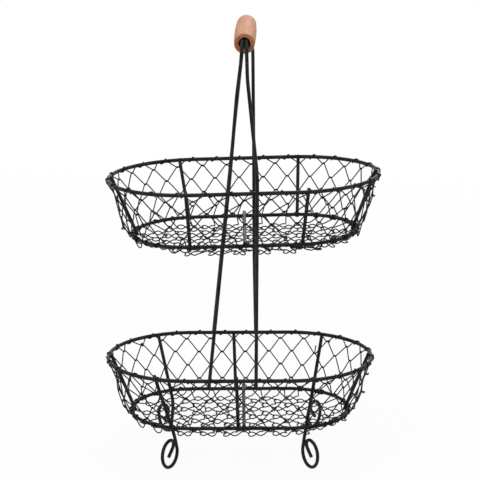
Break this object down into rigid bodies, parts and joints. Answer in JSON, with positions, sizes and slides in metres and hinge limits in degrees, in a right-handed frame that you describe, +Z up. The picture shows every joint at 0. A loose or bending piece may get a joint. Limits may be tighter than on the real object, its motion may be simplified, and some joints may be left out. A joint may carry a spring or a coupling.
{
  "type": "tiered wire basket stand",
  "caption": "Tiered stand of oval wire-netting baskets on a tall wire handle with a turned wooden grip and scroll feet, for holding eggs or fruit.",
  "frame": {"origin": "on the surface the stand rests on, under the middle of the bounding box", "axes": "+X along the baskets to the right as seen from the front, +Y to the back, +Z up; the grip runs front to back"},
  "size_m": [0.301, 0.1734, 0.4829],
  "materials": {
    "black_wire": "satin",
    "black_netting": "satin",
    "grip_wood": "satin"
  },
  "bodies": {
    "stand": {"upper_top_rim": "black_wire", "upper_bottom_ring": "black_wire", "upper_rib_front_left": "black_wire", "upper_rib_front_right": "black_wire", "upper_rib_back_left": "black_wire", "upper_rib_back_right": "black_wire", "upper_rib_left_end": "black_wire", "upper_rib_right_end": "black_wire", "upper_cross_wire": "black_wire", "upper_side_netting": "black_netting", "upper_floor_netting": "black_netting", "lower_top_rim": "black_wire", "lower_bottom_ring": "black_wire", "lower_leg_front_left": "black_wire", "lower_leg_front_right": "black_wire", "lower_leg_back_left": "black_wire", "lower_leg_back_right": "black_wire", "lower_rib_front_centre": "black_wire", "lower_rib_back_centre": "black_wire", "lower_rib_left_end": "black_wire", "lower_rib_right_end": "black_wire", "lower_cross_wire": "black_wire", "lower_side_netting": "black_netting", "lower_floor_netting": "black_netting", "handle_wire_left": "black_wire", "handle_wire_right": "black_wire"},
    "grip": {"wooden_grip": "grip_wood"}
  },
  "joints": [
    {"name": "grip_spin", "type": "hinge", "parent": "stand", "child": "grip", "pos_m": [0.0046, 0.003, 0.4713], "axis": [0.0236, 0.9997, 0], "continuous": true}
  ]
}
